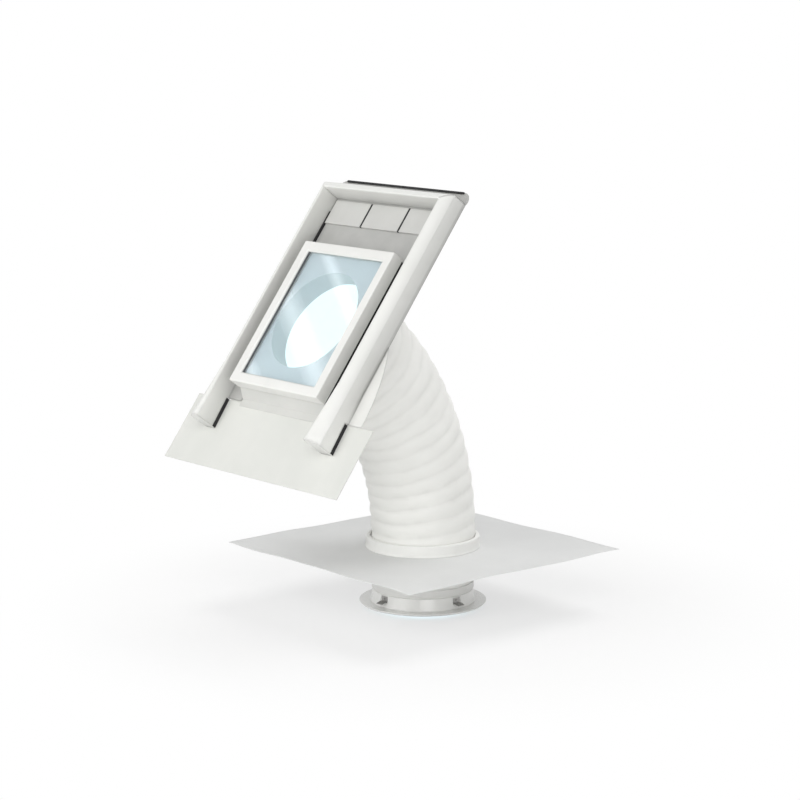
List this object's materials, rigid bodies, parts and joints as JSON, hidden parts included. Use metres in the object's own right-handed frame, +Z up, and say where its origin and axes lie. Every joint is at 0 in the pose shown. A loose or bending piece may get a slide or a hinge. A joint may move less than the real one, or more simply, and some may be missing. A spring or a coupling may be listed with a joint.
{
  "type": "tubular skylight",
  "caption": "Tubular skylight: a glazed roof unit in its flashing, a ribbed flexible duct, a vapour barrier and a ceiling ring with a diffuser.",
  "frame": {"origin": "middle of the ceiling ring, on the ceiling face at the top of its flange", "axes": "+Z up, +X along the eaves, the roof falls towards -Y"},
  "size_m": [0.98, 1.2667, 1.4977],
  "materials": {
    "white_frame": "satin white",
    "coated_sheet": "satin white coating",
    "apron": "soft grey-white sheet",
    "glazing": "clear",
    "dark_rubber": "matte",
    "bright_metal": "satin pale blue-grey",
    "duct_sleeve": "soft white sleeve, bright inside",
    "membrane": "matte grey film",
    "collar": "soft white",
    "spring_steel": "plain",
    "diffuser": "frosted",
    "foam": "foam"
  },
  "bodies": {
    "root": {"glass_pane": "glazing", "glazing_gasket": "dark_rubber", "glazing_cap": "white_frame", "kerb_frame": "white_frame", "reflector_tray": "bright_metal", "tunnel_neck": "white_frame", "neck_screws": "spring_steel", "side_flashing_left": "coated_sheet", "side_flashing_right": "coated_sheet", "head_flashing": "coated_sheet", "head_seal": "dark_rubber", "tray_seals": "dark_rubber", "foot_seals": "dark_rubber", "kerb_seals": "dark_rubber", "sill_flashing": "coated_sheet", "apron_skirt": "apron", "flexible_duct": "duct_sleeve", "duct_head_cuff": "white_frame", "duct_foot_band": "white_frame", "vapour_sheet": "membrane", "vapour_collar": "collar", "ceiling_ring": "white_frame", "ceiling_clip_1": "spring_steel", "ceiling_clip_2": "spring_steel", "ceiling_clip_3": "spring_steel", "ceiling_clip_4": "spring_steel", "clip_screws": "spring_steel", "diffuser_lens": "diffuser", "diffuser_inner_lens": "diffuser", "diffuser_seal": "foam"}
  },
  "joints": []
}
